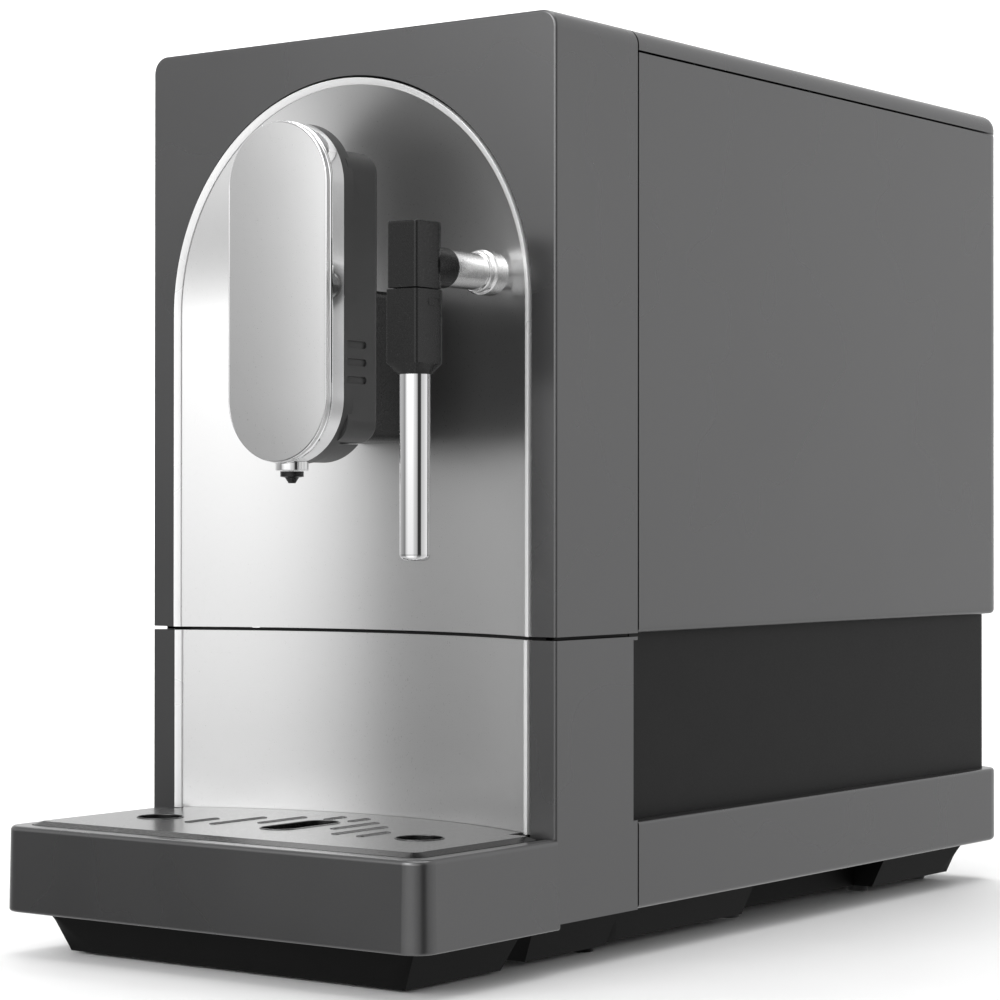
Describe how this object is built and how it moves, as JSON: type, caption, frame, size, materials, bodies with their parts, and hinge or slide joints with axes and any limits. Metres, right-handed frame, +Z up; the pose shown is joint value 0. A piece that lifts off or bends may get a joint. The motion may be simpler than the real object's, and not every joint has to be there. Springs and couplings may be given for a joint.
{
  "type": "bean-to-cup coffee machine",
  "caption": "Compact dark grey bean-to-cup coffee machine with an arched steel niche, height-adjustable spout, steam wand, drip tray drawer, water tank and grinder.",
  "frame": {"origin": "centre of the bounding box on the floor", "axes": "+Z up, front looks along -Y, +X to the right seen from the front"},
  "size_m": [0.184, 0.4014, 0.3189],
  "materials": {
    "body_paint": "satin dark grey metallic paint",
    "satin_steel": "fine satin grain",
    "bright_trim": "mirror polished",
    "matt_black": "fine matt grain",
    "spout_grey": "matt dark grey",
    "silver": "satin silver",
    "rubber": "soft matt",
    "gloss_black": "polished",
    "button_cap": "satin",
    "clear_plastic": "clear smoke",
    "tank_lid_plastic": "matt",
    "inner_plastic": "moulded",
    "inner_metal": "cast",
    "burr_steel": "ground",
    "hose": "translucent white",
    "board": "solder mask",
    "inlet_black": "satin",
    "screw_steel": "zinc plated"
  },
  "bodies": {
    "root": {"front_frame": "body_paint", "side_shell": "body_paint", "top_cover": "body_paint", "base_skirt": "body_paint", "niche_panel": "satin_steel", "arch_trim": "bright_trim", "waist_cover": "matt_black", "chassis_base": "matt_black", "panel_carrier": "matt_black", "spout_bracket": "matt_black", "wand_collar": "silver", "wand_arm": "silver", "rubber_feet": "rubber", "control_strip": "gloss_black", "bean_hopper": "clear_plastic", "tank_dock": "inner_plastic", "brew_frame": "inner_plastic", "grinder_housing": "inner_plastic", "inner_frame": "inner_plastic", "thermoblock": "inner_metal", "gear_motors": "inner_metal", "water_pump": "inner_metal", "flow_meter": "inner_metal", "upper_burr": "burr_steel", "hoses": "hose", "circuit_boards": "board", "mains_inlet": "inlet_black", "rear_screws": "screw_steel"},
    "drawer": {"lower_front": "body_paint", "lower_panel": "satin_steel", "lower_trim": "bright_trim", "lower_carrier": "matt_black", "drip_tray": "body_paint", "drawer_chassis": "matt_black", "grounds_box": "matt_black"},
    "drip_plate": {"drip_plate": "satin_steel"},
    "tray_float": {"tray_float": "inner_plastic"},
    "spout": {"spout_body": "spout_grey", "spout_lower_cover": "spout_grey", "spout_band": "bright_trim", "spout_plate": "satin_steel", "spout_collar": "bright_trim", "spout_nozzle": "matt_black", "spout_duct": "inner_plastic"},
    "wand": {"wand_head": "matt_black", "wand_grip": "matt_black", "wand_tube": "bright_trim", "wand_tip": "rubber"},
    "hopper_lid": {"hopper_lid": "body_paint"},
    "water_tank": {"water_tank": "clear_plastic", "tank_valve": "inner_plastic"},
    "tank_lid": {"tank_lid": "tank_lid_plastic"},
    "grinder_burr": {"lower_burr": "burr_steel"},
    "brew_spindle": {"brew_spindle": "inner_metal"},
    "brew_piston": {"brew_piston": "inner_plastic"},
    "power_rocker": {"power_rocker": "inlet_black"},
    "button_power": {"button_power": "button_cap"},
    "button_coffee": {"button_coffee": "button_cap"},
    "button_espresso": {"button_espresso": "button_cap"},
    "button_steam": {"button_steam": "button_cap"}
  },
  "joints": [
    {"name": "drawer_slide", "type": "slide", "parent": "root", "child": "drawer", "axis": [0, -1, 0], "range_m": [0, 0.15]},
    {"name": "plate_lift", "type": "slide", "parent": "drawer", "child": "drip_plate", "axis": [0, 0, 1], "range_m": [0, 0.06]},
    {"name": "float_rise", "type": "slide", "parent": "drawer", "child": "tray_float", "axis": [0, 0, 1], "range_m": [0, 0.008]},
    {"name": "spout_height", "type": "slide", "parent": "root", "child": "spout", "axis": [0, 0, 1], "range_m": [-0.038, 0]},
    {"name": "wand_swing", "type": "hinge", "parent": "root", "child": "wand", "pos_m": [0.0595, -0.1623, 0.2329], "axis": [0, 1, 0], "range_deg": [-40, 15]},
    {"name": "hopper_lid_hinge", "type": "hinge", "parent": "root", "child": "hopper_lid", "pos_m": [0, 0.0309, 0.3159], "axis": [-1, 0, 0], "range_deg": [0, 95]},
    {"name": "tank_lift", "type": "slide", "parent": "root", "child": "water_tank", "axis": [0, 0, 1], "range_m": [0, 0.23]},
    {"name": "tank_lid_hinge", "type": "hinge", "parent": "water_tank", "child": "tank_lid", "pos_m": [-0.042, 0.1804, 0.3159], "axis": [-1, 0, 0], "range_deg": [0, 95]},
    {"name": "burr_spin", "type": "hinge", "parent": "root", "child": "grinder_burr", "pos_m": [-0.022, -0.022, 0.25], "axis": [0, 0, 1], "continuous": true},
    {"name": "spindle_turn", "type": "hinge", "parent": "root", "child": "brew_spindle", "pos_m": [-0.022, -0.022, 0.13], "axis": [0, 0, 1], "range_deg": [0, 350]},
    {"name": "piston_lift", "type": "slide", "parent": "root", "child": "brew_piston", "axis": [0, 0, 1], "range_m": [0, 0.03]},
    {"name": "rocker_tilt", "type": "hinge", "parent": "root", "child": "power_rocker", "pos_m": [0.0155, 0.19475, 0.072], "axis": [1, 0, 0], "range_deg": [-8, 8]},
    {"name": "power_press", "type": "slide", "parent": "root", "child": "button_power", "axis": [0, 0, -1], "range_m": [0, 0.0008], "stiffness_N_per_m": 700, "springref_m": -0.0006},
    {"name": "coffee_press", "type": "slide", "parent": "root", "child": "button_coffee", "axis": [0, 0, -1], "range_m": [0, 0.0008], "stiffness_N_per_m": 700, "springref_m": -0.0006},
    {"name": "espresso_press", "type": "slide", "parent": "root", "child": "button_espresso", "axis": [0, 0, -1], "range_m": [0, 0.0008], "stiffness_N_per_m": 700, "springref_m": -0.0006},
    {"name": "steam_press", "type": "slide", "parent": "root", "child": "button_steam", "axis": [0, 0, -1], "range_m": [0, 0.0008], "stiffness_N_per_m": 700, "springref_m": -0.0006}
  ],
  "couplings": [
    {"joint": "spindle_turn", "follows": "piston_lift", "rad_per_m": 197.8}
  ]
}
